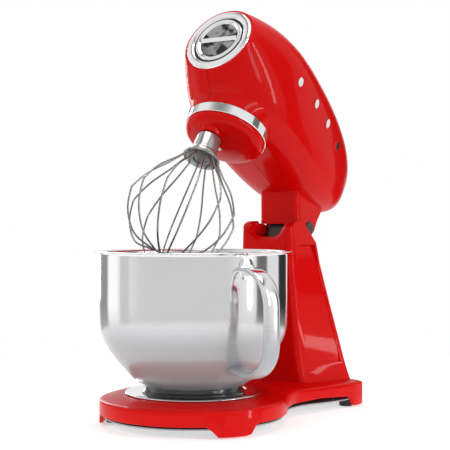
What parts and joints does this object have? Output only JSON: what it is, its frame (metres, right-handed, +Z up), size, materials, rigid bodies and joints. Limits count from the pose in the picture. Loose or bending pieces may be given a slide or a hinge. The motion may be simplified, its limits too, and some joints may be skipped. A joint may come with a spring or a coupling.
{
  "type": "stand mixer",
  "caption": "Tilt-head kitchen stand mixer with a lift-off steel bowl, planetary hub and wire whisk, shown with its head raised.",
  "frame": {"origin": "on the table, under the axis of the bowl", "axes": "+Z up; the front of the mixer faces -Y; the user's left side, with the bowl handle, is +X"},
  "size_m": [0.2671, 0.4381, 0.4925],
  "materials": {
    "red_paint": "gloss enamel",
    "bowl_steel": "mirror-polished stainless steel",
    "chrome": "bright chrome",
    "whisk_wire": "polished stainless wire",
    "dark_plastic": "satin moulded",
    "black_rubber": "matt",
    "zinc_screw": "zinc plated",
    "machined_steel": "turned and ground",
    "bearing_bronze": "sintered",
    "cast_frame": "as cast",
    "nylon": "moulded",
    "copper_wire": "enamelled winding",
    "carbon": "pressed carbon",
    "circuit_board": "laminate"
  },
  "bodies": {
    "stand": {"base_casting": "red_paint", "base_cover": "cast_frame", "cover_screws": "zinc_screw", "foot_front_left": "black_rubber", "foot_front_right": "black_rubber", "foot_rear_left": "black_rubber", "foot_rear_right": "black_rubber", "bowl_plate": "chrome", "bowl_plate_screws": "zinc_screw", "column_casting": "red_paint", "column_bolts": "zinc_screw", "hinge_pin": "machined_steel", "cord_inlet": "dark_plastic"},
    "head": {"head_shell_left": "red_paint", "head_shell_right": "red_paint", "trim_studs_left": "chrome", "trim_studs_right": "chrome", "cap_bezel": "chrome", "cap_gasket": "black_rubber", "hub_band": "chrome", "gear_frame": "cast_frame", "ring_gear": "machined_steel", "hub_bearing": "bearing_bronze", "motor_stator": "machined_steel", "stator_coils": "copper_wire", "motor_bearings": "bearing_bronze", "motor_bracket": "cast_frame", "carbon_brushes": "carbon", "control_board": "circuit_board", "accessory_bearing": "bearing_bronze", "lever_plate": "chrome", "neck_casting": "red_paint", "hinge_tongue": "dark_plastic", "hinge_bushes": "bearing_bronze", "release_spring": "machined_steel"},
    "hub": {"hub_dish": "red_paint", "hub_set_screw": "zinc_screw", "main_shaft": "machined_steel", "main_gear": "machined_steel", "top_bevel": "machined_steel", "planet_bearing": "bearing_bronze", "shaft_seal": "black_rubber"},
    "beater_drive": {"beater_shaft": "machined_steel", "planet_pinion": "machined_steel", "drive_pin": "machined_steel"},
    "whisk": {"whisk_collar": "chrome", "whisk_flange": "chrome", "whisk_wires": "whisk_wire"},
    "countershaft": {"counter_shaft": "machined_steel", "crown_gear": "nylon"},
    "motor": {"motor_rotor": "machined_steel", "motor_fan": "nylon"},
    "accessory_drive": {"accessory_shaft": "machined_steel", "accessory_bevel": "machined_steel"},
    "lever": {"speed_lever": "chrome"},
    "button": {"release_button": "dark_plastic"},
    "cap": {"front_cap": "chrome"},
    "bowl": {"bowl_shell": "bowl_steel", "bowl_foot": "bowl_steel", "bowl_handle": "bowl_steel"}
  },
  "joints": [
    {"name": "head_tilt", "type": "hinge", "parent": "stand", "child": "head", "pos_m": [0, 0.178, 0.184], "axis": [1, 0, 0], "range_deg": [0, 32.6]},
    {"name": "hub_spin", "type": "hinge", "parent": "head", "child": "hub", "pos_m": [0, 0.06619, 0.33955], "axis": [0, 0.5388, 0.8425], "continuous": true},
    {"name": "beater_spin", "type": "hinge", "parent": "hub", "child": "beater_drive", "pos_m": [0, 0.04403, 0.35372], "axis": [0, 0.5388, 0.8425], "continuous": true},
    {"name": "whisk_pull", "type": "slide", "parent": "beater_drive", "child": "whisk", "axis": [0, 0.5388, 0.8425], "range_m": [-0.012, 0]},
    {"name": "counter_spin", "type": "hinge", "parent": "head", "child": "countershaft", "pos_m": [0, 0.13098, 0.35176], "axis": [0, 0.5388, 0.8425], "continuous": true},
    {"name": "motor_spin", "type": "hinge", "parent": "head", "child": "motor", "pos_m": [0, 0.19392, 0.33881], "axis": [0, 0.8425, -0.5388], "continuous": true},
    {"name": "accessory_spin", "type": "hinge", "parent": "head", "child": "accessory_drive", "pos_m": [0, 0.08012, 0.43557], "axis": [0, 0.8425, -0.5388], "continuous": true},
    {"name": "speed_slide", "type": "slide", "parent": "head", "child": "lever", "axis": [0, 0.8425, -0.5388], "range_m": [0, 0.024]},
    {"name": "release_push", "type": "slide", "parent": "head", "child": "button", "axis": [-1, 0, 0], "range_m": [0, 0.003], "stiffness_N_per_m": 800, "springref_m": -0.001, "deforming": ["release_spring"]},
    {"name": "cap_pull", "type": "slide", "parent": "head", "child": "cap", "axis": [0, -0.8425, 0.5388], "range_m": [0, 0.02]},
    {"name": "bowl_lift", "type": "slide", "parent": "stand", "child": "bowl", "axis": [0, 0, -1], "range_m": [-0.06, 0]}
  ],
  "couplings": [
    {"joint": "beater_spin", "follows": "hub_spin", "ratio": -3.1667},
    {"joint": "counter_spin", "follows": "hub_spin", "ratio": -3},
    {"joint": "motor_spin", "follows": "hub_spin", "ratio": 16.8},
    {"joint": "accessory_spin", "follows": "hub_spin", "ratio": -1}
  ]
}
